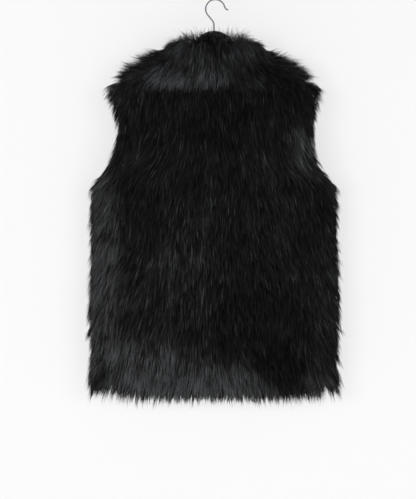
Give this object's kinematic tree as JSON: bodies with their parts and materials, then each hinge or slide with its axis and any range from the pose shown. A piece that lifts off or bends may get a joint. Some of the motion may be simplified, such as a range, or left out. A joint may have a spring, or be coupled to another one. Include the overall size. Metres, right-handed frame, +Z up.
{
  "type": "faux fur vest on a coat hanger",
  "caption": "Straight black faux fur vest with a wide turned-down fur collar, open neck, armholes and hem, hung on a dark wooden hanger with a wire hook.",
  "frame": {"origin": "the inside of the hook's crown, where a rail or peg carries it", "axes": "+Z up; the garment's front faces -Y, so its back is seen from +Y; +X is the wearer's left"},
  "size_m": [0.4843, 0.126, 0.7677],
  "materials": {
    "body_fur": "satin",
    "collar_fur": "satin",
    "hanger_wood": "satin",
    "hook_wire": "satin"
  },
  "bodies": {
    "root": {"back": "body_fur", "front_left": "body_fur", "front_right": "body_fur", "collar": "collar_fur", "hanger_body": "hanger_wood", "hanger_hook": "hook_wire"}
  },
  "joints": []
}
